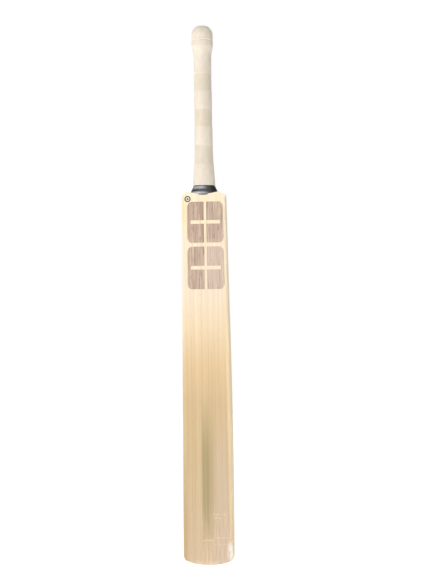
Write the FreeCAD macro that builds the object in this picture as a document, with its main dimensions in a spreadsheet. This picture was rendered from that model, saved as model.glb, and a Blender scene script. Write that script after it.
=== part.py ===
import FreeCAD, Part
import math
import os
import Sketcher
from FreeCAD import Vector

# Full-size cricket bat, standing on its toe. Millimetres, +Z up the bat, face towards -Y,
# +X to the right of someone looking at the face, origin under the middle of the toe.

doc = FreeCAD.newDocument("CricketBat")
sheet = doc.addObject("Spreadsheet::Sheet", "Sizes")

# Driving dimensions. Heights are measured up from the toe, widths and radii from the bat's
# middle plane or the handle's axis, depths from the origin plane.
DIMENSIONS = {
    # blade
    "blade_half_width": 54,
    "face_edge_depth": 13.5,
    "face_crown": 2.5,
    "face_corner_radius": 4,
    "back_corner_radius": 3,
    "ridge_half_width": 11,
    "ridge_crown": 4,
    "flank_radius": 150,
    "blade_top": 560,
    "shoulder_edge_height": 545,
    "shoulder_neck_height": 551,
    "shoulder_radius": 45,
    "neck_half_width": 35,
    "neck_dip": 3.5,
    "toe_flat_half_width": 7,
    "toe_arc_radius": 168,
    "toe_corner_start": 46,
    "toe_corner_radius": 10.4,
    # splice between blade and handle
    "splice_depth": 105,
    "splice_top_height": 565,
    "splice_top_half_width": 15.5,
    "splice_tip_half_width": 1.5,
    # handle
    "handle_axis_depth": 4,
    "handle_start": 544,
    "handle_base_radius": 19.4,
    "handle_base_top": 575,
    "handle_radius": 18,
    "handle_straight_start": 645,
    "handle_straight_end": 788,
    "butt_radius": 23.5,
    "butt_start": 822,
    "butt_end": 842,
    "butt_rim_radius": 14,
    "butt_top_radius": 14,
    "butt_top_height": 854,
    "butt_crown": 3,
    "spring_thickness": 2.4,
    "cane_layer_depth": 8,
    "cane_strip_half_width": 6,
    # thread, binding and grip
    "twine_thickness": 1,
    "binding_foot_height": 544,
    "binding_waist_height": 556,
    "binding_top_height": 562,
    "binding_foot_half_width": 40,
    "binding_waist_half_width": 30.5,
    "binding_top_half_width": 26.5,
    "binding_foot_half_depth": 21,
    "binding_waist_half_depth": 22,
    "binding_top_half_depth": 24,
    "grip_start": 562.3,
    "grip_lip_radius": 27.3,
    "grip_lip_height": 3,
    "grip_radius": 22.5,
    "grip_straight_start": 650,
    "grip_straight_end": 792,
    "knob_radius": 28,
    "knob_start": 819,
    "knob_end": 842,
    "knob_round_radius": 20,
    "grip_mouth_radius": 9,
    "grip_top": 860,
    "grip_seat_gap": 0.7,
    # burnt marks on the face
    "mark_depth": 0.6,
    "mark_offset": 4,
    "mark_top": 534,
    "mark_height": 68.5,
    "mark_gap": 6.5,
    "mark_half_width": 44,
    "mark_corner": 10,
    "mark_band": 6,
    "mark_band_reach": 36,
    "ring_side": 39,
    "ring_height": 539,
    "ring_half_width": 7.2,
    "ring_half_height": 4.9,
    "ring_side_line": 2.2,
    "ring_top_line": 1.7,
    "dot_half_width": 2.4,
    "dot_half_height": 1.6,
    # how far cutting shapes reach past the wood they trim
    "cutter_overhang": 10,
}

# Blade cross-sections: height, depth of the edge, depth over the ridge.
SECTIONS = [
    (0, 17, 25),
    (60, 26, 40),
    (140, 35, 57),
    (225, 38, 65),
    (310, 36, 60),
    (400, 30, 51),
    (490, 25, 45),
    (560, 20, 41),
]
for number, (height, edge, ridge) in enumerate(SECTIONS, start=1):
    DIMENSIONS[f"section{number}_height"] = height
    DIMENSIONS[f"section{number}_edge"] = edge
    DIMENSIONS[f"section{number}_ridge"] = ridge

for row, (alias, number) in enumerate(DIMENSIONS.items(), start=1):
    sheet.set(f"A{row}", alias)
    sheet.set(f"B{row}", str(number))
    sheet.setAlias(f"B{row}", alias)
doc.recompute()


class Size:
    """A number together with the sheet expression that gives it."""

    def __init__(self, value, text):
        self.value = value
        self.text = text

    def joined(self, sign, other, value):
        return Size(value, f"({self.text} {sign} {as_size(other).text})")

    def __add__(self, other):
        return self.joined("+", other, self.value + as_size(other).value)

    def __sub__(self, other):
        return self.joined("-", other, self.value - as_size(other).value)

    def __mul__(self, other):
        return self.joined("*", other, self.value * as_size(other).value)

    def __truediv__(self, other):
        return self.joined("/", other, self.value / as_size(other).value)

    def __neg__(self):
        return Size(-self.value, f"(-{self.text})")

    def root(self):
        return Size(math.sqrt(self.value), f"sqrt({self.text})")


def as_size(number):
    return number if isinstance(number, Size) else Size(number, str(number))


def size(alias):
    return Size(DIMENSIONS[alias], f"Sizes.{alias}")


def bow_radius(half_chord, rise):
    """Radius of the arc that rises by rise over a chord of twice half_chord."""
    return (half_chord * half_chord + rise * rise) / (rise * 2)


def bind(thing, property_name, amount):
    thing.setExpression(property_name, as_size(amount).text)


def new_body(name):
    body = doc.addObject("PartDesign::Body", name)
    body.Label = name
    return body


def new_sketch(body, name, role, offset=None):
    """A sketch on one of the body's own origin planes, moved along its normal by offset."""
    sketch = body.newObject("Sketcher::SketchObject", name)
    plane = [feature for feature in body.Origin.OriginFeatures if feature.Role == role][0]
    sketch.AttachmentSupport = (plane, [""])
    sketch.MapMode = "FlatFace"
    if offset is not None:
        bind(sketch, "AttachmentOffset.Base.z", offset)
    return sketch


def constrain(sketch, kind, references, amount=None):
    if amount is None:
        sketch.addConstraint(Sketcher.Constraint(kind, *references))
        return
    index = sketch.addConstraint(Sketcher.Constraint(kind, *references, amount.value))
    sketch.setExpression(f"Constraints[{index}]", amount.text)


def hold_point(sketch, line, end, x, y):
    """Fix one end of a line at x, y. Each is a Size, or None for a point on that axis."""
    for kind, axis, amount in (("DistanceX", -2, x), ("DistanceY", -1, y)):
        if amount is None:
            constrain(sketch, "PointOnObject", (line, end, axis))
        elif amount.value < 0:
            constrain(sketch, kind, (line, end, -1, 1), -amount)
        else:
            constrain(sketch, kind, (-1, 1, line, end), amount)


def place_of(point):
    return Vector(*[0 if amount is None else amount.value for amount in point], 0)


def bulge_point(start, finish, radius, side):
    """Middle of the arc from start to finish; side +1 bulges to the left, -1 to the right."""
    chord = finish - start
    rise = radius - math.sqrt(radius**2 - (chord.Length / 2) ** 2)
    across = Vector(-chord.y, chord.x, 0).normalize()
    return (start + finish) / 2 + across * rise * side


def draw_outline(sketch, corners):
    """A closed outline. Each corner is (x, y) or (x, y, radius, side) to leave it on an arc."""
    count = len(corners)
    places = [place_of(corner[:2]) for corner in corners]
    lines = []
    for index, corner in enumerate(corners):
        start = places[index]
        finish = places[(index + 1) % count]
        if len(corner) == 4:
            middle = bulge_point(start, finish, corner[2].value, corner[3])
            shape = Part.Arc(start, middle, finish)
        else:
            shape = Part.LineSegment(start, finish)
        lines.append(sketch.addGeometry(shape))

    def end_at(line, place):
        return 1 if sketch.getPoint(line, 1).distanceToPoint(place) < 1e-6 else 2

    for index, corner in enumerate(corners):
        line = lines[index]
        before = lines[index - 1]
        here = end_at(line, places[index])
        constrain(sketch, "Coincident", (before, end_at(before, places[index]), line, here))
        hold_point(sketch, line, here, *corner[:2])
        if len(corner) == 4:
            constrain(sketch, "Radius", (line,), corner[2])


def pad_both_ways(body, sketch, name, depth):
    pad = body.newObject("PartDesign::Pad", name)
    pad.Profile = sketch
    pad.SideType = "Symmetric"
    bind(pad, "Length", depth)
    return pad


def pocket_through(body, sketch, name):
    """Cut a sketch through the whole body, both ways from its plane."""
    volume = body.Shape.Volume
    pocket = body.newObject("PartDesign::Pocket", name)
    pocket.Profile = sketch
    pocket.SideType = "Two sides"
    pocket.Type = "ThroughAll"
    pocket.Type2 = "ThroughAll"
    doc.recompute()
    if body.Shape.Volume >= volume:
        raise ValueError(f"{name} cut nothing")


def revolve(body, sketch, name):
    turn = body.newObject("PartDesign::Revolution", name)
    turn.Profile = sketch
    turn.ReferenceAxis = (sketch, ["V_Axis"])
    turn.Angle = 360
    bind(body, "Placement.Base.y", size("handle_axis_depth"))


def combine(kind, label, base, tool):
    """A Part boolean of two objects: Part::Cut, Part::Fuse or Part::Common."""
    result = doc.addObject(kind, label)
    result.Label = label
    result.Base = base
    result.Tool = tool
    return result


# ---------------------------------------------------------------- blade

def face_arc(inset):
    """The crowned face, as the left end of its arc. inset moves it back from the surface."""
    half_width = size("blade_half_width") - size("face_corner_radius")
    radius = bow_radius(half_width, size("face_crown"))
    return (-half_width, as_size(inset) - size("face_edge_depth"), radius, -1)


def section_outline(number):
    """Slightly crowned face in front, rounded edges, hollow flanks up to a rounded ridge."""
    half_width = size("blade_half_width")
    ridge_half = size("ridge_half_width")
    front_round = size("face_corner_radius")
    back_round = size("back_corner_radius")
    face_end, face, face_radius, face_side = face_arc(0)
    edge = size(f"section{number}_edge") - size("face_edge_depth")
    ridge = size(f"section{number}_ridge") - size("face_edge_depth") - size("ridge_crown")
    ridge_radius = bow_radius(ridge_half, size("ridge_crown"))
    flank_radius = size("flank_radius")
    return [
        (face_end, face, face_radius, face_side),
        (-face_end, face, front_round, -1),
        (half_width, face + front_round),
        (half_width, edge - back_round, back_round, -1),
        (half_width - back_round, edge, flank_radius, 1),
        (ridge_half, ridge, ridge_radius, -1),
        (-ridge_half, ridge, flank_radius, 1),
        (back_round - half_width, edge, back_round, -1),
        (-half_width, edge - back_round),
        (-half_width, face + front_round, front_round, -1),
    ]


def cut_toe(billet):
    """Flat in the middle, shallow round to both sides, then a quarter-round corner."""
    half_width = size("blade_half_width")
    flat = size("toe_flat_half_width")
    start = size("toe_corner_start")
    arc_radius = size("toe_arc_radius")
    corner_radius = size("toe_corner_radius")
    run = start - flat
    rise = arc_radius - (arc_radius * arc_radius - run * run).root()
    overhang = start - half_width + corner_radius
    corner_rise = rise + (corner_radius * corner_radius - overhang * overhang).root()
    outside = half_width + size("cutter_overhang")
    below = -size("cutter_overhang")
    sketch = new_sketch(billet, "toe_outline", "XZ_Plane")
    draw_outline(
        sketch,
        [
            (-flat, None),
            (flat, None, arc_radius, -1),
            (start, rise, corner_radius, -1),
            (half_width, corner_rise),
            (outside, corner_rise),
            (outside, below),
            (-outside, below),
            (-outside, corner_rise),
            (-half_width, corner_rise, corner_radius, -1),
            (-start, rise, arc_radius, -1),
        ],
    )
    pocket_through(billet, sketch, "toe_round")


def cut_shoulders(billet):
    """Rounded shoulders that climb to a shallow dished seat for the binding."""
    half_width = size("blade_half_width")
    neck = size("neck_half_width")
    edge_height = size("shoulder_edge_height")
    neck_height = size("shoulder_neck_height")
    dish_radius = bow_radius(neck, size("neck_dip"))
    shoulder_radius = size("shoulder_radius")
    outside = half_width + size("cutter_overhang")
    above = size("blade_top") + size("cutter_overhang")
    sketch = new_sketch(billet, "shoulder_outline", "XZ_Plane")
    draw_outline(
        sketch,
        [
            (-half_width, edge_height, shoulder_radius, 1),
            (-neck, neck_height, dish_radius, -1),
            (neck, neck_height, shoulder_radius, 1),
            (half_width, edge_height),
            (outside, edge_height),
            (outside, above),
            (-outside, above),
            (-outside, edge_height),
        ],
    )
    pocket_through(billet, sketch, "shoulder_shape")


def make_billet():
    """The willow blade before it is slotted for the handle and marked."""
    billet = new_body("billet")
    sketches = []
    for number in range(1, len(SECTIONS) + 1):
        height = size(f"section{number}_height")
        sketch = new_sketch(billet, f"blade_section_{number}", "XY_Plane", height)
        draw_outline(sketch, section_outline(number))
        sketches.append(sketch)
    loft = billet.newObject("PartDesign::AdditiveLoft", "blade_loft")
    loft.Profile = sketches[0]
    loft.Sections = sketches[1:]
    doc.recompute()
    cut_toe(billet)
    cut_shoulders(billet)
    return billet


def make_splice_wedge():
    """The V-shaped volume that the handle's tongue fills in the blade."""
    top = size("splice_top_height")
    tip = size("shoulder_neck_height") - size("splice_depth")
    body = new_body("splice_wedge")
    sketch = new_sketch(body, "splice_outline", "XZ_Plane")
    top_half = size("splice_top_half_width")
    tip_half = size("splice_tip_half_width")
    draw_outline(
        sketch,
        [(-tip_half, tip), (tip_half, tip), (top_half, top), (-top_half, top)],
    )
    pad_both_ways(body, sketch, "splice_pad", size("blade_half_width") * 2)
    return body


# ---------------------------------------------------------------- burnt marks

def half_panel(side, top):
    """One half of a rounded panel, notched by a plain cross band. side is +1 or -1."""
    centre = size("mark_offset")
    band = size("mark_band") / 2
    corner = size("mark_corner")
    reach = size("mark_half_width")
    bottom = top - size("mark_height")
    middle = top - size("mark_height") / 2
    notch = size("mark_band_reach")
    points = [
        (band, top),
        (reach - corner, top, corner, side),
        (reach, top - corner),
        (reach, bottom + corner, corner, side),
        (reach - corner, bottom),
        (band, bottom),
        (band, middle - band),
        (notch, middle - band),
        (notch, middle + band),
        (band, middle + band),
    ]
    return [(centre + point[0] * side, *point[1:]) for point in points]


def oval_peg(name, half_width, half_height):
    """A short oval rod along Y, centred on the ring's place on the face."""
    rim = doc.addObject("Part::Ellipse", f"{name}_rim")
    bind(rim, "MajorRadius", half_width)
    bind(rim, "MinorRadius", half_height)
    rim.Placement = FreeCAD.Placement(Vector(), FreeCAD.Rotation(Vector(1, 0, 0), 90))
    bind(rim, "Placement.Base.x", -size("ring_side"))
    bind(rim, "Placement.Base.y", -size("face_edge_depth"))
    bind(rim, "Placement.Base.z", size("ring_height"))
    peg = doc.addObject("Part::Extrusion", name)
    peg.Base = rim
    peg.DirMode = "Custom"
    peg.Dir = Vector(0, 1, 0)
    peg.Solid = True
    peg.Symmetric = True
    bind(peg, "LengthFwd", size("face_edge_depth"))
    return peg


def make_marks():
    """Shallow cutter for the marks: upright prisms that stop just under the crowned face."""
    panels = new_body("mark_prisms")
    sketch = new_sketch(panels, "mark_outline", "XZ_Plane")
    upper = size("mark_top")
    lower = upper - size("mark_height") - size("mark_gap")
    for top in (upper, lower):
        for side in (1, -1):
            draw_outline(sketch, half_panel(side, top))
    pad_both_ways(panels, sketch, "mark_pad", size("blade_half_width"))

    ring_half_width = size("ring_half_width")
    ring_half_height = size("ring_half_height")
    hole_half_width = ring_half_width - size("ring_side_line")
    hole_half_height = ring_half_height - size("ring_top_line")
    outer = oval_peg("ring_outer", ring_half_width, ring_half_height)
    inner = oval_peg("ring_inner", hole_half_width, hole_half_height)
    dot = oval_peg("ring_dot", size("dot_half_width"), size("dot_half_height"))
    ring = combine("Part::Cut", "ring_prism", outer, inner)
    ring_and_dot = combine("Part::Fuse", "ring_and_dot", ring, dot)
    prisms = combine("Part::Fuse", "all_prisms", panels, ring_and_dot)

    floor = new_body("mark_floor")
    floor_sketch = new_sketch(floor, "mark_floor_outline", "XY_Plane")
    front_left, front, face_radius, face_side = face_arc(size("mark_depth"))
    back = size("blade_half_width")
    draw_outline(
        floor_sketch,
        [
            (front_left, front, face_radius, face_side),
            (-front_left, front),
            (-front_left, back),
            (front_left, back),
        ],
    )
    floor_pad = floor.newObject("PartDesign::Pad", "mark_floor_pad")
    floor_pad.Profile = floor_sketch
    bind(floor_pad, "Length", size("blade_top"))
    return combine("Part::Cut", "mark_cutter", prisms, floor)


# ---------------------------------------------------------------- handle

def handle_side(extra):
    """The handle's side from the binding to the widest part of the butt, bottom to top."""
    base = size("handle_base_radius") + extra
    waist = size("handle_radius") + extra
    butt = size("butt_radius") + extra
    flare = size("butt_radius") - size("handle_radius")
    run = size("butt_start") - size("handle_straight_end")
    flare_radius = (flare * flare + run * run) / (flare * 2)
    return [
        (base, size("handle_base_top")),
        (waist, size("handle_straight_start")),
        (waist, size("handle_straight_end"), flare_radius, 1),
        (butt, size("butt_start")),
        (butt, size("butt_end")),
    ]


def downwards(side):
    """The same side drawn from top to bottom, its arc bulging the other way."""
    base, waist_start, (waist, waist_end, flare_radius, _), butt_start, butt_end = side
    return [butt_end, (*butt_start, flare_radius, -1), (waist, waist_end), waist_start, base]


def make_handle_core():
    """The round part of the handle as one block, before it is divided into its strips."""
    core = new_body("handle_core")
    sketch = new_sketch(core, "handle_profile", "XZ_Plane")
    side = handle_side(0)
    rim = (*side[-1], size("butt_rim_radius"), 1)
    crown_radius = bow_radius(size("butt_top_radius"), size("butt_crown"))
    draw_outline(
        sketch,
        [
            (None, size("handle_start")),
            (size("handle_base_radius"), size("handle_start")),
            *side[:-1],
            rim,
            (size("butt_top_radius"), size("butt_top_height"), crown_radius, 1),
            (None, size("butt_top_height") + size("butt_crown")),
        ],
    )
    revolve(core, sketch, "handle_turned")
    return core


def slab(name, x_start, width, y_start, depth):
    """A box as tall as the handle, placed by its lower left front corner."""
    splice_tip = size("shoulder_neck_height") - size("splice_depth")
    bottom = splice_tip - size("cutter_overhang")
    box = doc.addObject("Part::Box", name)
    bind(box, "Placement.Base.x", x_start)
    bind(box, "Placement.Base.y", y_start)
    bind(box, "Placement.Base.z", bottom)
    bind(box, "Length", width)
    bind(box, "Width", depth)
    bind(box, "Height", size("grip_top"))
    return box


def divide_handle(block, cutter):
    """Four layers of cane, three strips each, with a rubber spring between the layers."""
    axis = size("handle_axis_depth")
    spring = size("spring_thickness")
    layer = size("cane_layer_depth")
    outer = size("blade_half_width")
    strip = size("cane_strip_half_width")
    half_spring = spring / 2
    layers = {
        "front": (axis - half_spring - layer - spring - outer, outer),
        "mid_front": (axis - half_spring - layer, layer),
        "mid_back": (axis + half_spring, layer),
        "back": (axis + half_spring + layer + spring, outer),
    }
    columns = {
        "left": (-(outer + strip), outer),
        "centre": (-strip, strip * 2),
        "right": (strip, outer),
    }
    springs = {
        "front": axis - half_spring - layer - spring,
        "centre": axis - half_spring,
        "back": axis + half_spring + layer,
    }
    pieces = []
    for layer_name, (y_start, depth) in layers.items():
        for column, (x_start, width) in columns.items():
            label = f"cane_{layer_name}_{column}"
            box = slab(f"{label}_slab", x_start, width, y_start, depth)
            if layer_name == "front":
                uncut = combine("Part::Common", f"{label}_plain", block, box)
                pieces.append(combine("Part::Cut", label, uncut, cutter))
            else:
                pieces.append(combine("Part::Common", label, block, box))
    for name, y_start in springs.items():
        label = f"rubber_spring_{name}"
        box = slab(f"{label}_slab", -outer, outer * 2, y_start, spring)
        pieces.append(combine("Part::Common", label, block, box))
    return pieces


# ---------------------------------------------------------------- thread, binding, grip

def make_twine():
    """Thin sleeve of thread wound over the cane, under the grip."""
    twine = new_body("handle_twine")
    sketch = new_sketch(twine, "twine_profile", "XZ_Plane")
    inside = handle_side(0)
    outside = handle_side(size("twine_thickness"))
    start = size("binding_top_height")
    inner_start = (size("handle_base_radius"), start)
    outer_start = (size("handle_base_radius") + size("twine_thickness"), start)
    draw_outline(sketch, [outer_start, *outside, *downwards(inside), inner_start])
    revolve(twine, sketch, "twine_turned")
    return twine


def binding_ring(name, height, half_width, half_depth):
    ring = doc.addObject("Part::Ellipse", name)
    bind(ring, "MajorRadius", half_width)
    bind(ring, "MinorRadius", half_depth)
    bind(ring, "Placement.Base.y", size("handle_axis_depth"))
    bind(ring, "Placement.Base.z", height)
    return ring


def make_binding(billet, core):
    """Glossy thread wound over the flare where the handle enters the shoulders."""
    rings = []
    for level in ("foot", "waist", "top"):
        rings.append(
            binding_ring(
                f"binding_{level}",
                size(f"binding_{level}_height"),
                size(f"binding_{level}_half_width"),
                size(f"binding_{level}_half_depth"),
            )
        )
    flare = doc.addObject("Part::Loft", "binding_flare")
    flare.Sections = rings
    flare.Solid = True
    seated = combine("Part::Cut", "binding_seated", flare, billet)
    return combine("Part::Cut", "shoulder_binding", seated, core)


def make_grip():
    """Rubber sleeve: flared lip at the base, straight barrel, round knob with a small mouth."""
    grip = new_body("grip")
    sketch = new_sketch(grip, "grip_profile", "XZ_Plane")
    start = size("grip_start")
    lip_top = start + size("grip_lip_height")
    lip = size("grip_lip_radius")
    barrel = size("grip_radius")
    knob = size("knob_radius")
    base_flare = lip - barrel
    base_run = size("grip_straight_start") - lip_top
    base_radius = (base_flare * base_flare + base_run * base_run) / (base_flare * 2)
    knob_flare = knob - barrel
    knob_run = size("knob_start") - size("grip_straight_end")
    knob_radius = (knob_flare * knob_flare + knob_run * knob_run) / (knob_flare * 2)
    mouth = size("grip_mouth_radius")
    gap = size("grip_seat_gap")
    seat = size("butt_top_height") + gap
    inside = handle_side(size("twine_thickness"))
    draw_outline(
        sketch,
        [
            (lip, start),
            (lip, lip_top, base_radius, 1),
            (barrel, size("grip_straight_start")),
            (barrel, size("grip_straight_end"), knob_radius, 1),
            (knob, size("knob_start")),
            (knob, size("knob_end"), size("knob_round_radius"), -1),
            (mouth, size("grip_top")),
            (mouth, seat + size("butt_crown")),
            (size("butt_top_radius") + gap, seat, size("butt_rim_radius"), -1),
            *downwards(inside),
            (size("handle_base_radius") + size("twine_thickness"), start),
        ],
    )
    revolve(grip, sketch, "grip_turned")
    return grip


# ---------------------------------------------------------------- assembly

billet = make_billet()
wedge = make_splice_wedge()
marks = make_marks()
core = make_handle_core()
slotted = combine("Part::Cut", "slotted_billet", billet, wedge)
blade = combine("Part::Cut", "blade", slotted, marks)
tongue = combine("Part::Common", "tongue", billet, wedge)
seated_core = combine("Part::Cut", "seated_core", core, billet)
block = combine("Part::Fuse", "handle_block", tongue, seated_core)
pieces = [blade, *divide_handle(block, marks), make_twine(), make_binding(billet, core), make_grip()]
doc.recompute()

for thing in doc.Objects:
    if "Invalid" in thing.State or "Error" in thing.State:
        raise ValueError(f"{thing.Label} did not compute: {thing.State}")
os.makedirs("parts", exist_ok=True)
for piece in pieces:
    if piece.Shape.isNull() or not piece.Shape.isValid():
        raise ValueError(f"{piece.Label} has no valid shape")
    piece.Shape.exportStep(f"parts/{piece.Label}.step")
    print(piece.Label, len(piece.Shape.Solids), round(piece.Shape.Volume), piece.Shape.BoundBox)
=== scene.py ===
import math

import bmesh
import bpy
import numpy as np
from mathutils import Matrix, Vector


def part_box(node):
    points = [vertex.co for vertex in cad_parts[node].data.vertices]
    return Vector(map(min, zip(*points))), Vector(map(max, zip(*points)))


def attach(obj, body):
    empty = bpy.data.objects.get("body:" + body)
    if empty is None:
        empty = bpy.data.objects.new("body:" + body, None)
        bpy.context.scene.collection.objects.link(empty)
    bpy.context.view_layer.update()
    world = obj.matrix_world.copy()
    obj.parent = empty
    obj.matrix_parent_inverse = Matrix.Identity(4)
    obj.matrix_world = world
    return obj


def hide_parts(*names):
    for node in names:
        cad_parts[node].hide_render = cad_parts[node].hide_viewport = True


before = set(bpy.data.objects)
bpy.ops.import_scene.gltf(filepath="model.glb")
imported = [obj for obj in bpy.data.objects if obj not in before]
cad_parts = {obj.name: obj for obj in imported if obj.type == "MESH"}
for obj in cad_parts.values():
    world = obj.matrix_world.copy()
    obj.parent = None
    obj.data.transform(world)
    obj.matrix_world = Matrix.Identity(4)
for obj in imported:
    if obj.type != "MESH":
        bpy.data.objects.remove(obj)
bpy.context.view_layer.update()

MM = 0.001
blade_low, blade_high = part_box("blade")
grip_low, grip_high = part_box("grip")
binding_low, binding_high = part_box("shoulder_binding")
AXIS_Y = (grip_low.y + grip_high.y) / 2


# ------------------------------------------------------------------ node helper

class Shader:
    """Builds the nodes of one material or world. Most methods return an output socket."""

    def __init__(self, owner, coordinates="Object"):
        owner.use_nodes = True
        self.owner = owner
        self.tree = owner.node_tree
        self.tree.nodes.clear()
        self.x, self.y, self.z = self.split(self.add("ShaderNodeTexCoord", out=coordinates))

    def add(self, kind, inputs=None, out=0, **settings):
        node = self.tree.nodes.new(kind)
        for key, value in settings.items():
            setattr(node, key, value)
        for key, value in (inputs or {}).items():
            self.plug(node.inputs[key], value)
        return node.outputs[out]

    def plug(self, socket, value):
        """Links an output to the socket, or sets the socket to a plain value."""
        if isinstance(value, bpy.types.NodeSocket):
            self.tree.links.new(value, socket)
        elif socket.type == "RGBA":
            socket.default_value = (*value, 1.0)
        else:
            socket.default_value = value

    def split(self, vector):
        node = self.tree.nodes.new("ShaderNodeSeparateXYZ")
        self.plug(node.inputs[0], vector)
        return node.outputs

    def math(self, operation, a, b=0.0):
        return self.add("ShaderNodeMath", {0: a, 1: b}, operation=operation)

    def plus(self, a, b):
        return self.math("ADD", a, b)

    def minus(self, a, b):
        return self.math("SUBTRACT", a, b)

    def over(self, a, b):
        return self.math("DIVIDE", a, b)

    def absolute(self, value):
        return self.math("ABSOLUTE", value)

    def times(self, first, *others):
        product = first
        for other in others:
            product = self.math("MULTIPLY", product, other)
        return product

    def ease(self, value, start, end):
        """0 before start, 1 after end, smooth between; start may be the larger."""
        inputs = {"Value": value, "From Min": start, "From Max": end}
        return self.add("ShaderNodeMapRange", inputs, interpolation_type="SMOOTHSTEP")

    def inside(self, value, low, high, soft):
        """1 between low and high, fading over soft on either side."""
        rise = self.ease(value, low - soft, low + soft)
        fall = self.ease(value, high + soft, high - soft)
        return self.times(rise, fall)

    def noise(self, across, deep, along, detail, roughness):
        """Noise with its own frequency, in cycles a metre, on each of the object's axes."""
        place = {
            0: self.times(self.x, across),
            1: self.times(self.y, deep),
            2: self.times(self.z, along),
        }
        inputs = {
            "Vector": self.add("ShaderNodeCombineXYZ", place),
            "Scale": 1.0,
            "Detail": detail,
            "Roughness": roughness,
        }
        return self.add("ShaderNodeTexNoise", inputs)

    def mix(self, factor, a, b, blend="MIX"):
        inputs = {0: factor, 6: a, 7: b}
        return self.add("ShaderNodeMix", inputs, out=2, data_type="RGBA", blend_type=blend)

    def tint(self, colour, mask, strength, target):
        """Moves a colour towards a target where the mask is 1, by at most the strength."""
        return self.mix(self.times(mask, strength), colour, target)

    def ramp(self, value, stops):
        node = self.tree.nodes.new("ShaderNodeValToRGB")
        elements = node.color_ramp.elements
        while len(elements) < len(stops):
            elements.new(0.5)
        for element, (position, colour) in zip(elements, stops):
            element.position = position
            element.color = (*colour, 1.0)
        self.plug(node.inputs[0], value)
        return node.outputs[0]

    def bump(self, height, distance, strength, under=None):
        """A bumped normal; under is the normal of a coarser bump that it is laid over."""
        inputs = {"Height": height, "Distance": distance, "Strength": strength}
        if under is not None:
            inputs["Normal"] = under
        return self.add("ShaderNodeBump", inputs)

    def end(self, kind, surface):
        """Plugs the surface into the tree's output node."""
        output = self.tree.nodes.new(kind)
        self.plug(output.inputs[0], surface)

    def finish(self, **inputs):
        """Ends a material in a Principled surface and returns it; _ stands for a space."""
        spaced = {key.replace("_", " "): value for key, value in inputs.items()}
        self.end("ShaderNodeOutputMaterial", self.add("ShaderNodeBsdfPrincipled", spaced))
        return self.owner


def new_material(name):
    return Shader(bpy.data.materials.new(name))


def srgb(red, green, blue):
    """Linear colour of an sRGB triple given in 0 to 255."""
    return tuple(
        value / 255 / 12.92 if value <= 10 else ((value / 255 + 0.055) / 1.055) ** 2.4
        for value in (red, green, blue)
    )


# ------------------------------------------------------------------ wood

# The face is a shallow arc across the blade, and its middle is the front-most wood. Wood in
# front of FACE_SIDE, measured front to back, belongs to the face and not to the back.
FACE_RADIUS = 501.25 * MM
FACE_HALF_WIDTH = 49.5 * MM
FACE_SIDE = -12 * MM

# The burnt panels are pockets in the face; the small ring is an oval near one shoulder.
MARK_DEPTH = 0.6 * MM
MARKS_LOW = 389 * MM
MARKS_HIGH = 545.5 * MM
RING_X = -39 * MM
RING_Z = 539 * MM
RING_WIDE = 7.2 * MM
RING_TALL = 4.9 * MM

# The V splice: its half-width at the tip, and how fast that grows with height.
SPLICE_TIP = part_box("cane_front_centre")[0].z
SPLICE_TIP_HALF = 1.5 * MM
SPLICE_SLOPE = 14.0 / 119.0

# Each pale line of painted glare near the toe: its height, and where it starts and ends across the
# face.
GLARE_LINES = (
    (61.0 * MM, 14 * MM, 37 * MM),
    (65.5 * MM, 12 * MM, 41 * MM),
    (26.5 * MM, 14 * MM, 44 * MM),
    (31.0 * MM, -14 * MM, 12 * MM),
    (35.0 * MM, 12 * MM, 48 * MM),
)
GLARE_LINE_HALF_HEIGHT = 0.5 * MM

WILLOW_RING_SPACING = 8.8 * MM
CANE_RING_SPACING = 2.6 * MM

GRAIN_BROWN = srgb(176, 140, 96)
FIBRE_TAN = srgb(190, 158, 114)
GLUE_BROWN = srgb(150, 112, 74)
PALE_CANE = srgb(246, 228, 196)

# The cleft's colour at shares of the blade's height, from the toe up; the paler, less yellow upper
# half is partly painted light, a glare from above.
WILLOW_TONES_AND_GLARE = (
    (0.0, srgb(214, 190, 160)),
    (0.10, srgb(212, 187, 151)),
    (0.24, srgb(210, 185, 143)),
    (0.40, srgb(213, 185, 142)),
    (0.50, srgb(225, 197, 152)),
    (0.60, srgb(238, 216, 181)),
    (0.70, srgb(241, 225, 200)),
    (1.0, srgb(245, 229, 200)),
)


def face_side(shader):
    """1 on the face's side of the blade, 0 on its back."""
    return shader.math("LESS_THAN", shader.y, FACE_SIDE)


def burnt_mask(shader):
    """1 on the floor of the burnt marks: the face's surface, set back by the mark's depth."""
    across = shader.times(shader.x, shader.x)
    face = shader.plus(shader.times(across, 0.5 / FACE_RADIUS), blade_low.y)
    depth = shader.minus(shader.y, face)
    floor = shader.inside(depth, MARK_DEPTH * 0.5, MARK_DEPTH * 2, MARK_DEPTH * 0.12)
    near_middle = shader.math("LESS_THAN", shader.absolute(shader.x), FACE_HALF_WIDTH)
    low_enough = shader.math("LESS_THAN", shader.z, MARKS_HIGH)
    high_enough = shader.math("GREATER_THAN", shader.z, MARKS_LOW)
    return shader.times(floor, near_middle, low_enough, high_enough)


def glue_line(shader):
    """1 along the two joints of the V splice, on the face and on the back."""
    rise = shader.minus(shader.z, SPLICE_TIP)
    half = shader.plus(shader.times(rise, SPLICE_SLOPE), SPLICE_TIP_HALF)
    gap = shader.absolute(shader.minus(shader.absolute(shader.x), half))
    above = shader.math("GREATER_THAN", rise, 0.0)
    return shader.times(shader.ease(gap, 0.5 * MM, 0.15 * MM), above)


def fibres(shader):
    """Straight fibres along the bat: long soft streaks, fine threads and short pores."""
    streaks = shader.noise(150, 90, 2.2, 4, 0.55)
    threads = shader.noise(1100, 800, 14, 3, 0.6)
    pores = shader.noise(900, 700, 90, 2, 0.5)
    return streaks, threads, shader.ease(pores, 0.64, 0.72)


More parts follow.
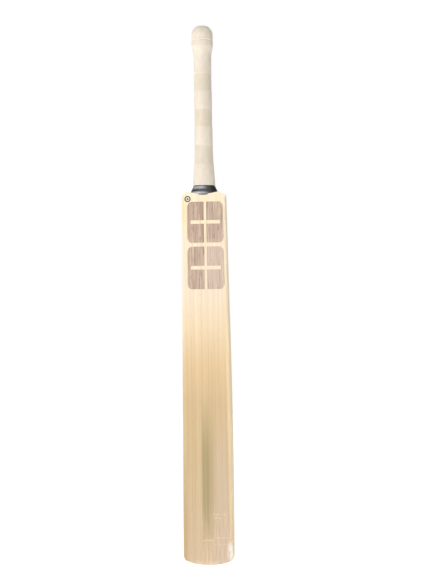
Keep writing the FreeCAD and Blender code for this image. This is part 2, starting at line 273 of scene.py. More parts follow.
def growth_rings(shader, spacing, wander):
    """Ring lines: they run up the face, front to back over the toe, and waver slowly."""
    waver = shader.noise(38, 20, 1.6, 2, 0.5)
    shift = shader.times(shader.minus(waver, 0.5), wander)
    bowed = shader.times(shader.y, shader.y, 1.6)
    across = shader.plus(shader.plus(shader.x, shift), bowed)
    part = shader.math("FRACT", shader.over(across, spacing))
    return shader.times(shader.ease(part, 0.55, 0.93), shader.ease(part, 1.0, 0.93))


def burn(shader, colour, streaks, threads, depth):
    """Scorched wood: brown, with the fibres still showing; depth 0 is light, 1 is dark."""
    fine = shader.ease(threads, 0.41, 0.59)
    coarse = shader.ease(streaks, 0.36, 0.64)
    patches = shader.ease(shader.noise(60, 60, 24, 4, 0.6), 0.42, 0.68)
    flecks = shader.ease(shader.noise(420, 420, 60, 3, 0.6), 0.55, 0.66)
    right = shader.ease(shader.x, 0.0, 16 * MM)
    lower_right = shader.times(right, shader.ease(shader.z, 476 * MM, 460 * MM))
    scorched = shader.mix(fine, srgb(150, 124, 105), srgb(206, 182, 161))
    scorched = shader.tint(scorched, coarse, 0.3, srgb(220, 196, 176))
    scorched = shader.tint(scorched, patches, 0.4, srgb(180, 151, 134))
    scorched = shader.tint(scorched, flecks, 0.55, srgb(118, 93, 80))
    scorched = shader.tint(scorched, lower_right, 0.3, srgb(236, 214, 200))
    scorched = shader.mix(0.45 * depth, scorched, srgb(146, 114, 92))
    scorched = shader.tint(scorched, glue_line(shader), 0.6, srgb(120, 90, 72))
    return shader.mix(burnt_mask(shader), colour, scorched)


def ring_char(shader, colour, threads):
    """The small ring and dot, charred dark; the char spreads a little outside the recess."""
    side = shader.over(shader.minus(shader.x, RING_X), RING_WIDE)
    rise = shader.over(shader.minus(shader.z, RING_Z), RING_TALL)
    squares = shader.plus(shader.times(side, side), shader.times(rise, rise))
    reach = shader.math("SQRT", squares)
    ring = shader.inside(reach, 0.66, 1.08, 0.05)
    dot = shader.ease(reach, 0.42, 0.34)
    front = face_side(shader)
    between = shader.times(shader.inside(reach, 0.42, 0.62, 0.04), front)
    charred = shader.times(shader.math("MAXIMUM", ring, dot), front)
    colour = shader.tint(colour, between, 0.8, srgb(255, 250, 238))
    return shader.mix(charred, colour, shader.mix(threads, srgb(8, 5, 4), srgb(24, 15, 11)))


def painted_dark_reflection(shader, colour):
    """A soft olive band low on the blade, a painted reflection of something dark, with a darker
    streaky core.
    """
    band = shader.times(
        shader.ease(shader.x, -14 * MM, -9 * MM),
        shader.ease(shader.x, 26 * MM, 0.0),
        shader.ease(shader.z, 240 * MM, 135 * MM),
        shader.ease(shader.z, 8 * MM, 84 * MM),
    )
    streaks = shader.ease(shader.noise(210, 120, 5, 3, 0.6), 0.3, 0.6)
    core = shader.times(band, shader.inside(shader.x, -8 * MM, 3 * MM, 4 * MM), streaks)
    colour = shader.tint(colour, band, 0.68, srgb(160, 144, 100))
    return shader.tint(colour, core, 0.3, srgb(138, 124, 80))


def lower_tints(shader, colour):
    """Tints low on the blade: amber and shade at the left edge, grey right, and painted light on
    the pale right edge.
    """
    amber = shader.times(
        shader.ease(shader.x, -40 * MM, -47 * MM),
        shader.ease(shader.z, 120 * MM, 50 * MM),
    )
    shade = shader.times(
        shader.ease(shader.x, -42 * MM, -50 * MM),
        shader.ease(shader.z, 170 * MM, 110 * MM),
    )
    grey = shader.times(
        shader.inside(shader.x, 17 * MM, 45 * MM, 10 * MM),
        shader.ease(shader.z, 230 * MM, 110 * MM),
    )
    # Painted light: the right edge and flank paler, fading out halfway up the blade.
    painted_flank_light = shader.times(
        shader.ease(shader.x, 44 * MM, 50 * MM),
        shader.ease(shader.z, 500 * MM, 300 * MM),
    )
    colour = shader.tint(colour, amber, 0.4, srgb(192, 146, 98))
    colour = shader.tint(colour, shade, 0.3, srgb(176, 154, 108))
    colour = shader.tint(colour, grey, 0.4, srgb(208, 188, 173))
    return shader.tint(colour, painted_flank_light, 0.6, srgb(240, 217, 176))


def shoulder_tints(shader, colour):
    """Tints high on the face: a warmer amber at the left edge, and a painted highlight, a pale
    glare streak right of the middle.
    """
    front = face_side(shader)
    warm_top_left = shader.times(
        shader.inside(shader.x, -60 * MM, -42 * MM, 7 * MM),
        shader.inside(shader.z, 495 * MM, 548 * MM, 20 * MM),
        front,
    )
    # Painted highlight: a pale glare streak running down from the binding, right of the middle.
    painted_glare = shader.times(
        shader.inside(shader.x, 6 * MM, 14 * MM, 4 * MM),
        shader.ease(shader.z, 525 * MM, 550 * MM),
        front,
    )
    colour = shader.tint(colour, warm_top_left, 0.5, srgb(246, 206, 132))
    return shader.tint(colour, painted_glare, 0.6, srgb(255, 250, 240))


def painted_glare_lines(shader):
    """Broken pale lines of painted glare across the lower face."""
    wobble = shader.minus(shader.noise(95, 95, 0, 3, 0.6), 0.5)
    height = shader.plus(shader.z, shader.times(wobble, 9 * MM))
    broken = shader.ease(shader.noise(330, 330, 500, 3, 0.6), 0.42, 0.6)
    lines = 0.0
    for level, start, end in GLARE_LINES:
        low = level - GLARE_LINE_HALF_HEIGHT
        high = level + GLARE_LINE_HALF_HEIGHT
        line = shader.times(
            shader.inside(height, low, high, 0.5 * MM),
            shader.inside(shader.x, start, end, 3 * MM),
        )
        lines = shader.math("MAXIMUM", lines, line)
    return shader.times(lines, broken, face_side(shader))


def toe_grain(shader, colour):
    """Grain near the toe, stronger on the right, with painted light on its raised lines and
    painted shade in its sunken ones.
    """
    rough = shader.times(
        shader.ease(shader.z, 100 * MM, 40 * MM),
        shader.ease(shader.x, -45 * MM, 15 * MM),
    )
    grain = shader.noise(480, 480, 44, 3, 0.6)
    # Painted light on the raised grain and painted shade in the sunken grain.
    painted_lit_grain = shader.times(shader.ease(grain, 0.5, 0.36), rough)
    painted_shaded_grain = shader.times(shader.ease(grain, 0.5, 0.64), rough)
    colour = shader.tint(colour, painted_lit_grain, 0.22, srgb(244, 226, 206))
    return shader.tint(colour, painted_shaded_grain, 0.24, srgb(174, 144, 112))


def painted_toe_highlights(shader, colour):
    """Painted highlights: a pale glare on the right toe corner, and a pale rim where the toe's
    rounding catches the light.
    """
    glare_breakup = shader.noise(160, 160, 70, 4, 0.6)
    painted_corner_glare = shader.times(
        shader.inside(shader.x, 43 * MM, 54 * MM, 4 * MM),
        shader.inside(shader.z, 8 * MM, 27 * MM, 7 * MM),
        shader.ease(glare_breakup, 0.3, 0.5),
        face_side(shader),
    )
    # Painted highlight: a pale rim round the toe's rounded edge.
    rim = shader.times(shader.ease(shader.z, 7 * MM, 1 * MM), shader.ease(glare_breakup, 0.3, 0.6))
    colour = shader.tint(colour, painted_corner_glare, 0.9, srgb(246, 240, 238))
    return shader.tint(colour, rim, 0.45, srgb(240, 222, 202))


def willow_material():
    """Willow: its own tone up the blade, the grain, the tints, the burnt marks and the wear."""
    shader = new_material("willow")
    streaks, threads, pores = fibres(shader)
    # The wood's tone up the blade, with painted glare towards the top.
    tone = shader.ramp(shader.over(shader.z, blade_high.z), WILLOW_TONES_AND_GLARE)
    streaked = shader.mix(shader.ease(streaks, 0.35, 0.68), tone, srgb(190, 150, 110), "MULTIPLY")
    colour = shader.mix(0.12, tone, streaked)
    rings = growth_rings(shader, WILLOW_RING_SPACING, 36 * MM)
    faded = shader.times(shader.ease(shader.z, 260 * MM, 360 * MM), 0.07)
    colour = shader.tint(colour, rings, shader.minus(0.17, faded), GRAIN_BROWN)
    colour = shader.tint(colour, shader.ease(threads, 0.5, 0.75), 0.18, FIBRE_TAN)
    colour = shader.tint(colour, pores, 0.25, srgb(150, 112, 76))
    # A painted dark reflection: an olive band low on the blade.
    colour = painted_dark_reflection(shader, colour)
    colour = lower_tints(shader, colour)
    colour = shoulder_tints(shader, colour)
    colour = shader.tint(colour, glue_line(shader), 0.5, GLUE_BROWN)
    colour = burn(shader, colour, streaks, threads, 0.0)
    colour = ring_char(shader, colour, threads)
    # Painted highlights: pale lines of glare across the lower face, which are also made rougher.
    glare_lines = painted_glare_lines(shader)
    colour = toe_grain(shader, colour)
    colour = shader.tint(colour, glare_lines, 0.6, srgb(250, 230, 206))
    # Painted highlights on the toe's right corner and on its rim.
    colour = painted_toe_highlights(shader, colour)
    normal = shader.bump(threads, 0.05 * MM, 0.5)
    normal = shader.bump(pores, -0.04 * MM, 0.6, normal)
    roughness = shader.plus(0.36, shader.times(threads, 0.14))
    roughness = shader.plus(roughness, shader.times(glare_lines, 0.15))
    return shader.finish(
        Base_Color=colour,
        Roughness=roughness,
        Normal=normal,
        Coat_Weight=0.25,
        Coat_Roughness=0.22,
    )


def cane_material(name, tone):
    """Cane: close rings, coarse pores, paler towards the top, scorched where the marks are."""
    shader = new_material(name)
    streaks, threads, pores = fibres(shader)
    height = shader.over(shader.z, blade_high.z)
    colour = shader.mix(shader.ease(height, 0.8, 1.0), tone, PALE_CANE)
    rings = growth_rings(shader, CANE_RING_SPACING, 2 * MM)
    colour = shader.tint(colour, rings, 0.18, GRAIN_BROWN)
    colour = shader.tint(colour, shader.ease(threads, 0.45, 0.7), 0.22, FIBRE_TAN)
    colour = shader.tint(colour, pores, 0.35, srgb(140, 104, 68))
    colour = shader.tint(colour, glue_line(shader), 0.5, GLUE_BROWN)
    colour = burn(shader, colour, streaks, threads, 1.0)
    normal = shader.bump(threads, 0.06 * MM, 0.5)
    normal = shader.bump(pores, -0.08 * MM, 0.7, normal)
    return shader.finish(
        Base_Color=colour,
        Roughness=0.45,
        Normal=normal,
        Coat_Weight=0.2,
        Coat_Roughness=0.25,
    )


# ------------------------------------------------------------------ rubber, thread

TWINE_PITCH = 0.8 * MM

# A painted gleam, a highlight painted into the thread's colour, lies on two bands of its turns.
UPPER_PAINTED_GLEAM = (556 * MM, 561 * MM)
LOWER_PAINTED_GLEAM = (546 * MM, 552 * MM)


def spring_material():
    """Dark matt rubber with a fine speckle."""
    shader = new_material("spring_rubber")
    speckle = shader.noise(2500, 2500, 2500, 2, 0.6)
    colour = shader.mix(shader.ease(speckle, 0.4, 0.7), srgb(46, 40, 36), srgb(74, 66, 58))
    normal = shader.bump(speckle, 0.08 * MM, 0.6)
    return shader.finish(Base_Color=colour, Roughness=0.75, Normal=normal)


def twine_material():
    """Waxed thread wound round the handle: one ridge a turn, painted shade between the turns, and
    the lay of the thread.
    """
    shader = new_material("handle_twine")
    turn = shader.math("FRACT", shader.over(shader.z, TWINE_PITCH))
    ridge = shader.math("SINE", shader.times(turn, math.pi))
    lay = shader.noise(1400, 1400, 2400, 3, 0.6)
    # Painted shade: darker down between the turns, lighter on their ridges.
    colour = shader.mix(shader.ease(ridge, 0.1, 0.7), srgb(126, 108, 78), srgb(206, 190, 152))
    colour = shader.tint(colour, lay, 0.3, srgb(226, 212, 180))
    normal = shader.bump(ridge, 0.4 * MM, 0.9)
    normal = shader.bump(lay, 0.1 * MM, 0.5, normal)
    return shader.finish(Base_Color=colour, Roughness=0.6, Normal=normal)


def binding_material():
    """Black lacquered thread: painted sheen makes the front greyer and the sides duller, and a
    painted highlight gleams left of the middle.
    """
    shader = new_material("binding_twine")
    lay = shader.noise(700, 700, 2600, 3, 0.6)
    turns = shader.noise(26, 26, 420, 3, 0.55)
    side, front, _ = shader.split(shader.add("ShaderNodeNewGeometry", out="Normal"))
    # The painted highlight sits where the surface faces forward and a little to the left.
    toward_left = shader.plus(shader.times(side, -0.42), shader.times(front, -0.91))
    uneven = shader.plus(0.6, shader.times(shader.ease(turns, 0.42, 0.56), 0.4))
    painted_gleam = shader.times(shader.ease(toward_left, 0.70, 0.93), uneven)
    painted_upper_gleam = shader.times(painted_gleam, shader.inside(shader.z, *UPPER_PAINTED_GLEAM, 1 * MM))
    painted_lower_gleam = shader.times(painted_gleam, shader.inside(shader.z, *LOWER_PAINTED_GLEAM, 1 * MM))
    # Painted sheen: front and back greyer than the sides.
    painted_front_sheen = shader.ease(shader.absolute(front), 0.5, 0.98)
    colour = shader.mix(painted_front_sheen, srgb(16, 18, 17), srgb(56, 58, 62))
    colour = shader.tint(colour, painted_upper_gleam, 0.9, srgb(206, 209, 218))
    colour = shader.tint(colour, painted_lower_gleam, 0.95, srgb(240, 242, 250))
    colour = shader.tint(colour, shader.ease(lay, 0.5, 0.8), 0.15, srgb(150, 152, 156))
    lacquer = shader.ease(shader.absolute(side), 0.9, 0.4)
    return shader.finish(
        Base_Color=colour,
        Roughness=shader.plus(0.24, shader.times(turns, 0.2)),
        Normal=shader.bump(lay, 0.06 * MM, 0.5),
        Specular_IOR_Level=shader.plus(0.2, shader.times(lacquer, 0.3)),
        Coat_Weight=shader.plus(0.2, shader.times(lacquer, 0.4)),
        Coat_IOR=1.7,
        Coat_Roughness=0.12,
    )


def grip_material():
    """Cream rubber: a little bloom, a yellower tone on ribbed bands, painted shade in the ribs'
    grooves.
    """
    shader = new_material("grip_rubber")
    bloom = shader.noise(90, 90, 60, 4, 0.6)
    grit = shader.noise(2200, 2200, 2200, 2, 0.6)
    groove = shader.add("ShaderNodeAttribute", out="Fac", attribute_name="groove")
    ribbed = shader.add("ShaderNodeAttribute", out="Fac", attribute_name="ribbed")
    blotch = shader.ease(bloom, 0.35, 0.7)
    plain_tone = shader.mix(blotch, srgb(224, 212, 196), srgb(231, 220, 205))
    ribbed_tone = shader.mix(blotch, srgb(222, 211, 191), srgb(229, 219, 201))
    colour = shader.mix(ribbed, plain_tone, ribbed_tone)
    # Painted shade: darker down in the rib grooves.
    colour = shader.tint(colour, groove, 0.14, srgb(168, 156, 130))
    colour = shader.tint(colour, shader.ease(grit, 0.5, 0.8), 0.2, srgb(198, 186, 164))
    return shader.finish(
        Base_Color=colour,
        Roughness=shader.plus(0.42, shader.times(bloom, 0.2)),
        Normal=shader.bump(grit, 0.03 * MM, 0.5),
        Subsurface_Weight=0.12,
        Subsurface_Scale=0.003,
        Sheen_Weight=0.15,
    )


# ------------------------------------------------------------------ mesh helpers

def ring_angles(count):
    return np.linspace(0, 2 * math.pi, count, endpoint=False)


def ring(angle, wide, deep, height):
    """A row of points round the handle, at half-widths wide across and deep front to back."""
    height = np.broadcast_to(height, angle.shape)
    return np.stack([wide * np.cos(angle), AXIS_Y + deep * np.sin(angle), height], axis=1)


def wrap_rows(name, rows):
    """Closed ring-shaped mesh from rows of points; row after row, the last meets the first."""
    count = len(rows)
    around = len(rows[0])
    points = np.concatenate(rows).tolist()
    faces = []
    for row in range(count):
        above = (row + 1) % count
        for column in range(around):
            beside = (column + 1) % around
            faces.append(
                (
                    row * around + column,
                    row * around + beside,
                    above * around + beside,
                    above * around + column,
                )
            )
    mesh = bpy.data.meshes.new(name)
    mesh.from_pydata(points, [], faces)
    mesh.validate()
    sculpt = bmesh.new()
    sculpt.from_mesh(mesh)
    bmesh.ops.recalc_face_normals(sculpt, faces=sculpt.faces)
    sculpt.to_mesh(mesh)
    sculpt.free()
    mesh.shade_smooth()
    piece = bpy.data.objects.new(name, mesh)
    bpy.context.scene.collection.objects.link(piece)
    return piece


def arc_points(start, end, rise, count):
    """Points of an arc from start to end in the (radius, height) plane.

    The rise is how far its middle stands out to the right of the straight line."""
    (r0, z0), (r1, z1) = start, end
    chord = math.hypot(r1 - r0, z1 - z0)
    radius = (chord * chord / 4 + rise * rise) / (2 * abs(rise))
    across = ((z1 - z0) / chord, -(r1 - r0) / chord)
    sign = math.copysign(1.0, rise)
    middle = ((r0 + r1) / 2, (z0 + z1) / 2)
    centre = [middle[i] + across[i] * sign * (abs(rise) - radius) for i in (0, 1)]
    a0 = math.atan2(z0 - centre[1], r0 - centre[0])
    a1 = math.atan2(z1 - centre[1], r1 - centre[0])
    if a1 - a0 > math.pi:
        a1 -= 2 * math.pi
    if a0 - a1 > math.pi:
        a1 += 2 * math.pi
    steps = np.linspace(a0, a1, count)
    return [(centre[0] + radius * math.cos(a), centre[1] + radius * math.sin(a)) for a in steps]


def evenly(path, step):
    """The same path resampled at even steps of its length."""
    path = np.array(path)
    lengths = np.concatenate([[0], np.cumsum(np.linalg.norm(np.diff(path, axis=0), axis=1))])
    places = np.linspace(0, lengths[-1], max(2, int(lengths[-1] / step)))
    return np.stack([np.interp(places, lengths, path[:, i]) for i in (0, 1)], axis=1)


def soft_window(value, low, high, soft):
    """1 between low and high, easing to 0 at them over the soft length inside."""
    rise = np.clip((value - low) / soft, 0, 1)
    fall = np.clip((high - value) / soft, 0, 1)
    return rise * rise * (3 - 2 * rise) * fall * fall * (3 - 2 * fall)


def mark_points(piece, name, values):
    """Stores one number per mesh point for the material to read."""
    attribute = piece.data.attributes.new(name, "FLOAT", "POINT")
    attribute.data.foreach_set("value", values.astype(np.float32))


def stand_in(piece, material, node):
    """Dresses a visual piece and puts it in the place of a CAD node."""
    piece.data.materials.append(material)
    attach(piece, "root")
    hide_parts(node)


# ------------------------------------------------------------------ grip

# Radii and heights of the sleeve's outside.
LIP_RADIUS = 27.3 * MM
BARREL_RADIUS = 22.5 * MM
MOUTH_RADIUS = 9 * MM
FLARE_TOP = 650 * MM
BARREL_TOP = 792 * MM
KNOB_START = 819 * MM
KNOB_END = 842 * MM

# The bore in (radius, height): a hollow knob, then a narrow bore that widens in the flare.
BORE_KNOB = (24.5 * MM, 822 * MM)
BORE_NARROW = (19 * MM, 788 * MM)
BORE_NARROW_END = (19 * MM, 645 * MM)
BORE_WIDE = (20.4 * MM, 575 * MM)

# The mesh's row spacing and points around; the relief fades out over the outermost rows.
GRIP_ROW_STEP = 0.34 * MM
BORE_ROW_STEP = 3 * MM
GRIP_POINTS_AROUND = 288
RELIEF_FADE_ROWS = 6

# Seven moulded bands, counted down from the knob: fluted and ribbed in turn.
BANDS = 7
BAND_TOP = 799 * MM
BAND_HEIGHT = 33.2 * MM
BAND_SOFT = 1.2 * MM
RIB_PITCH = 1.7 * MM
RIB_DEPTH = 0.45 * MM
FLUTES_AROUND = 60
FLUTE_FLOOR = 0.15 * MM
FLUTE_RELIEF = 0.2 * MM

# The raised cuff line under the knob's dome, with a groove below it.
CUFF_HEIGHT = 833 * MM
CUFF_HALF_HEIGHT = 1.5 * MM
CUFF_RELIEF = 0.6 * MM
CUFF_GROOVE_DEPTH = 0.4 * MM

# The pips on the knob, in rows above the cuff.
PIP_ROWS = 4
PIPS_AROUND = 44
PIP_FIRST = 5 * MM
PIP_ROW_SPACING = 4.2 * MM
PIP_RING_RADIUS = 25 * MM
PIP_RADIUS = 1.25 * MM
PIP_RELIEF = 0.45 * MM


def band_window(z, number):
    """1 on one band of the grip, and the height of that band's top."""
    high = BAND_TOP - number * BAND_HEIGHT
    return soft_window(z, high - BAND_HEIGHT, high, BAND_SOFT), high


def ribbed_bands(z):
    """1 on the ribbed bands."""
    return sum(band_window(z, number)[0] for number in range(1, BANDS, 2))


def grip_relief(z, angle):
    """How far the moulded surface stands out at each height and angle."""
    relief = np.zeros_like(z)
    for number in range(BANDS):
        window, high = band_window(z, number)
        if number % 2:
            ribs = 0.5 - 0.5 * np.cos(2 * math.pi * (high - z) / RIB_PITCH)
            relief -= window * ribs * RIB_DEPTH
        else:
            flutes = 0.5 + 0.5 * np.cos(FLUTES_AROUND * angle)
            relief += window * (FLUTE_FLOOR + FLUTE_RELIEF * flutes)
    cuff_low = CUFF_HEIGHT - CUFF_HALF_HEIGHT
    cuff = soft_window(z, cuff_low, CUFF_HEIGHT + CUFF_HALF_HEIGHT, 1.2 * MM)
    groove = soft_window(z, CUFF_HEIGHT - 4 * MM, CUFF_HEIGHT - 2 * MM, 0.8 * MM)
    relief += cuff * CUFF_RELIEF - groove * CUFF_GROOVE_DEPTH
    for row in range(PIP_ROWS):
        height = CUFF_HEIGHT + PIP_FIRST + PIP_ROW_SPACING * row
        turn = (angle / (2 * math.pi) * PIPS_AROUND + 0.5 * (row % 2)) % 1.0
        across = (turn - 0.5) * 2 * math.pi * PIP_RING_RADIUS / PIPS_AROUND
        distance = np.hypot(across, z - height)
        relief += PIP_RELIEF * np.clip(1 - (distance / PIP_RADIUS) ** 2, 0, 1)
    return relief


def grip_outside():
    """The sleeve's outer profile from its lip up to its mouth, as (radius, height) points."""
    low = grip_low.z
    top = grip_high.z
    knob = grip_high.x
    foot = (LIP_RADIUS - 0.8 * MM, low)
    flare = (LIP_RADIUS - 0.4 * MM, low + 3.4 * MM)
    barrel_end = (BARREL_RADIUS, BARREL_TOP)
    rim = (MOUTH_RADIUS + 2 * MM, top)
    path = [foot]
    path += arc_points(foot, (LIP_RADIUS, low + 0.9 * MM), 0.2 * MM, 5)
    path += [(LIP_RADIUS, low + 2.4 * MM)]
    path += arc_points(flare, (BARREL_RADIUS, FLARE_TOP), -1.0 * MM, 40)
    path += [barrel_end]
    path += arc_points(barrel_end, (knob, KNOB_START), -1.1 * MM, 24)
    path += arc_points((knob, KNOB_END), rim, 4.3 * MM, 40)
    path += arc_points(rim, (MOUTH_RADIUS, top - 2 * MM), 0.8 * MM, 8)
    return evenly(path, GRIP_ROW_STEP)


def grip_bore():
    """The sleeve's inner profile from its mouth down to its lip."""
    top = grip_high.z
    path = [
        (MOUTH_RADIUS, top - 2.3 * MM),
        (14.7 * MM, top - 5.3 * MM),
        (21.6 * MM, top - 10.1 * MM),
        (BORE_KNOB[0], top - 18 * MM),
        BORE_KNOB,
        BORE_NARROW,
        BORE_NARROW_END,
        BORE_WIDE,
        (BORE_WIDE[0], grip_low.z),
    ]
    return evenly(path, BORE_ROW_STEP)


def make_grip():
    """The rubber sleeve, with its relief laid square to the outer profile."""
    outside = grip_outside()
    bore = grip_bore()
    tangent = np.gradient(outside, axis=0)
    tangent /= np.linalg.norm(tangent, axis=1)[:, None]
    angle = ring_angles(GRIP_POINTS_AROUND)
    height_grid, angle_grid = np.meshgrid(outside[:, 1], angle, indexing="ij")
    relief = grip_relief(height_grid, angle_grid)
    index = np.arange(len(outside))
    from_end = np.minimum(index, index[::-1])
    relief *= np.clip(from_end / RELIEF_FADE_ROWS, 0, 1)[:, None]
    radius = outside[:, :1] + tangent[:, 1:] * relief
    height = outside[:, 1:] - tangent[:, :1] * relief
    rows = [ring(angle, wide, wide, level) for wide, level in zip(radius, height)]
    rows += [ring(angle, wide, wide, level) for wide, level in bore]
    piece = wrap_rows("grip_sleeve", rows)
    hidden = np.zeros(len(bore) * GRIP_POINTS_AROUND)
    # How far each point lies down in a rib groove, which the material paints as shade.
    groove_shade = np.clip(-relief / RIB_DEPTH, 0, 1)
    mark_points(piece, "groove", np.concatenate([groove_shade.ravel(), hidden]))
    mark_points(piece, "ribbed", np.concatenate([ribbed_bands(height_grid).ravel(), hidden]))
    stand_in(piece, grip_material(), "grip")


# ------------------------------------------------------------------ shoulder binding

# The turns of thread; each stands out a little more or less than the next, and part of its
# relief lies below the binding's mean surface.
TURNS = 24
STEPS_A_TURN = 8
TURN_RELIEF = 0.32 * MM
TURN_SPREAD = 0.35
TURN_SUNK = 0.4
BINDING_POINTS_AROUND = 240

# The binding's half-widths at three heights; a smooth curve runs through each set.
BINDING_LEVELS = np.array([544, 556, 562]) * MM
BINDING_ACROSS = np.array([40, 30.5, 26.5]) * MM
BINDING_DEEP = np.array([21, 22, 24]) * MM

# The lowest turn rises towards the sides and dips in the middle of the face.
BINDING_SEAT = binding_low.z + 3.2 * MM
BINDING_TOP = binding_high.z + 0.2 * MM
SIDE_RISE = 3.5 * MM
SIDE_RISE_AT = 35 * MM
FACE_DIP = 1.6 * MM
FACE_DIP_SHARPNESS = 6

# The binding's inner edges: half-widths at the foot, and the radius at the top.
INNER_FOOT = (17 * MM, 15 * MM)
INNER_TOP = 20 * MM


def binding_foot(angle, across):
    """Height of the lowest turn at each angle, in four rounds, as its width depends on it."""
    front = np.clip(-np.sin(angle), 0, 1) ** FACE_DIP_SHARPNESS
    foot = np.full_like(angle, BINDING_SEAT)
    for _ in range(4):
        side = np.polyval(across, foot) * np.cos(angle)
        foot = BINDING_SEAT + SIDE_RISE * (side / SIDE_RISE_AT) ** 2 - FACE_DIP * front
    return foot


def make_binding():
    """Thread wound in close turns from the seat on the shoulders up to the grip's lip."""
    across = np.polyfit(BINDING_LEVELS, BINDING_ACROSS, 2)
    deep = np.polyfit(BINDING_LEVELS, BINDING_DEEP, 2)
    angle = ring_angles(BINDING_POINTS_AROUND)
    foot = binding_foot(angle, across)
    draw = np.random.default_rng(7)
    weights = 1 + TURN_SPREAD * draw.standard_normal(TURNS).clip(-1.5, 1.5)
    rows = [ring(angle, *INNER_FOOT, foot + 1 * MM)]
    for step in range(TURNS * STEPS_A_TURN + 1):
        turn = step / STEPS_A_TURN
        swell = abs(math.sin(math.pi * turn)) * weights[min(int(turn), TURNS - 1)]
        height = foot + turn / TURNS * (BINDING_TOP - foot)
        relief = TURN_RELIEF * (swell - TURN_SUNK)
        wide = np.polyval(across, height) + relief
        rows.append(ring(angle, wide, np.polyval(deep, height) + relief, height))
    rows.append(ring(angle, INNER_TOP, INNER_TOP, BINDING_TOP))
    piece = wrap_rows("shoulder_binding_turns", rows)
    stand_in(piece, binding_material(), "shoulder_binding")


# ------------------------------------------------------------------ stage, light, camera

FLOOR_REACH = 40.0
FLOOR_GLOW = 0.8

# The surroundings' light turns from warm white at the left end to dim and greenish at the
# right one; the ends are sideways parts of the direction.
SIDE_LIGHT_ENDS = (-0.6, 0.9)
SIDE_LIGHT_LEFT = (1.0, 0.96, 0.95)
SIDE_LIGHT_RIGHT = (0.22, 0.26, 0.21)
SIDE_LIGHT_STRENGTH = 0.49

# Each light: name, place, point it faces, size, watts, colour and spread in degrees.
LIGHTS = (
    ("key", (-0.55, -0.95, 0.85), (0, 0, 0.48), (0.22, 0.5), 3.0, (1.0, 0.97, 0.94), 180),
    ("spark", (-1.3, -0.3, 0.62), (0, 0, 0.55), (0.06, 0.06), 1.4, (1.0, 1.0, 1.0), 180),
    ("flank", (1.2, -0.15, 0.31), (0, -0.15, 0.31), (0.2, 0.45), 0.19, (1.0, 0.98, 0.94), 23),
    ("window", (0.0, -1.5, 0.8), (0, 0, 0.5), (0.5, 0.9), 2.7, (1.0, 1.0, 1.0), 180),
    ("top", (0.1, -0.3, 2.2), (0, 0, 0.6), (1.4, 1.4), 8.2, (1.0, 1.0, 1.0), 180),
)

# The view camera: its place, its turn, tilt and roll in radians, its lens and its shifts.
CAMERA_PLACE = (0.7256, -4.2282, 0.2246)
CAMERA_TURN = 0.1865
CAMERA_TILT = math.radians(140)
CAMERA_ROLL = -0.0023
SENSOR_WIDTH = 36
FOCAL_LENGTH = 2.1214 * SENSOR_WIDTH
LENS_SHIFT = {"shift_x": 0.0765, "shift_y": -2.3365}

# Below the first tilt a camera has no shift, and above the second it has all of it.
SHIFT_NONE_TILT = math.radians(115)
SHIFT_FULL_TILT = math.radians(125)


def make_floor():
    far = FLOOR_REACH
    mesh = bpy.data.meshes.new("studio_floor")
    corners = [(-far, -far, 0), (far, -far, 0), (far, far, 0), (-far, far, 0)]
    mesh.from_pydata(corners, [], [(0, 1, 2, 3)])
    floor = bpy.data.objects.new("studio_floor", mesh)
    bpy.context.scene.collection.objects.link(floor)
    shader = new_material("studio_floor")
    grain = shader.noise(8, 8, 8, 2, 0.5)
    colour = shader.mix(grain, (0.90, 0.90, 0.90), (0.92, 0.92, 0.92))
    paper = shader.finish(
        Base_Color=colour,
        Roughness=0.9,
        Emission_Color=(1, 1, 1),
        Emission_Strength=FLOOR_GLOW,
    )
    mesh.materials.append(paper)


def make_world():
    """White to the camera; as light it is warm white from the left and dimmer right."""
    world = bpy.data.worlds.new("studio")
    bpy.context.scene.world = world
    shader = Shader(world, "Generated")
    left, right = SIDE_LIGHT_ENDS
    span = {"Value": shader.x, "From Min": left, "From Max": right}
    sweep = shader.add("ShaderNodeMapRange", span)
    sides = shader.ramp(sweep, ((0.0, SIDE_LIGHT_LEFT), (1.0, SIDE_LIGHT_RIGHT)))
    light = shader.add("ShaderNodeBackground", {"Color": sides, "Strength": SIDE_LIGHT_STRENGTH})
    white = shader.add("ShaderNodeBackground", {"Color": (1, 1, 1)})
    seen = shader.add("ShaderNodeLightPath", out="Is Camera Ray")
    chosen = shader.add("ShaderNodeMixShader", {0: seen, 1: light, 2: white})
    shader.end("ShaderNodeOutputWorld", chosen)


def soft_light(name, place, aim, size, power, colour, spread):
    data = bpy.data.lights.new(name, "AREA")
    data.shape = "RECTANGLE"
    data.size, data.size_y = size
    data.energy = power
    data.color = colour
    data.spread = math.radians(spread)
    light = bpy.data.objects.new(name, data)
    light.location = place
    light.rotation_euler = (Vector(aim) - Vector(place)).to_track_quat("-Z", "Y").to_euler()
    light.visible_camera = False
    bpy.context.scene.collection.objects.link(light)


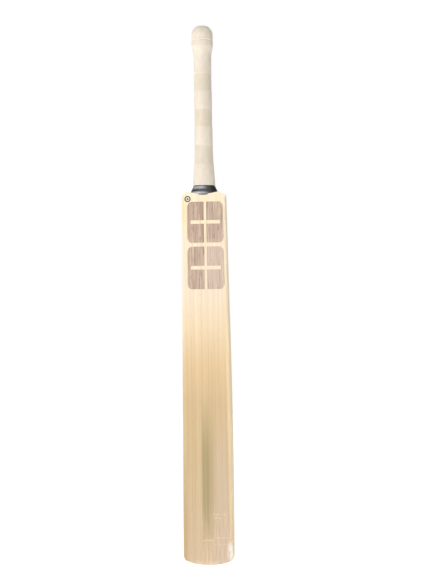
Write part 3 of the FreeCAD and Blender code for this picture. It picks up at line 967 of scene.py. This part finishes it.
def follow_tilt(camera, property_name, amount):
    """Shift the picture only while the camera is tilted back; a level camera has no shift."""
    curve = camera.data.driver_add(property_name)
    for modifier in list(curve.modifiers):
        curve.modifiers.remove(modifier)
    curve.driver.type = "AVERAGE"
    variable = curve.driver.variables.new()
    variable.type = "TRANSFORMS"
    variable.targets[0].id = camera
    variable.targets[0].transform_type = "ROT_X"
    variable.targets[0].transform_space = "WORLD_SPACE"
    for angle, shift in ((SHIFT_NONE_TILT, 0.0), (SHIFT_FULL_TILT, amount)):
        key = curve.keyframe_points.insert(angle, shift)
        key.interpolation = "LINEAR"


def make_camera():
    """A view camera: level with the blade, its back tilted hard and its lens shifted down.

    The tilt stretches the picture upright, so the bat looks slimmer than it is."""
    data = bpy.data.cameras.new("camera")
    camera = bpy.data.objects.new("camera", data)
    bpy.context.scene.collection.objects.link(camera)
    camera.location = CAMERA_PLACE
    turn = Matrix.Rotation(CAMERA_TURN, 3, "Z")
    tilt = Matrix.Rotation(CAMERA_TILT, 3, "X")
    roll = Matrix.Rotation(CAMERA_ROLL, 3, "Z")
    camera.rotation_euler = (turn @ tilt @ roll).to_euler()
    data.sensor_width = SENSOR_WIDTH
    data.lens = FOCAL_LENGTH
    for property_name, amount in LENS_SHIFT.items():
        follow_tilt(camera, property_name, amount)
    bpy.context.scene.camera = camera


# ------------------------------------------------------------------ assembly

def dress(names, materials):
    """Gives the named CAD nodes these materials in turn."""
    for number, name in enumerate(names):
        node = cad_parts[name]
        node.data.materials.clear()
        node.data.materials.append(materials[number % len(materials)])


def named(start):
    return sorted(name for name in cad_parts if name.startswith(start))


canes = [
    cane_material("cane_pale", PALE_CANE),
    cane_material("cane_mid", srgb(240, 220, 186)),
    cane_material("cane_dark", srgb(236, 214, 178)),
]
dress(named("cane_"), canes)
dress(named("rubber_spring_"), [spring_material()])
dress(["handle_twine"], [twine_material()])
dress(["blade"], [willow_material()])
make_grip()
make_binding()
make_floor()
make_world()
for light in LIGHTS:
    soft_light(*light)
make_camera()
bpy.context.scene.view_settings.view_transform = "Standard"
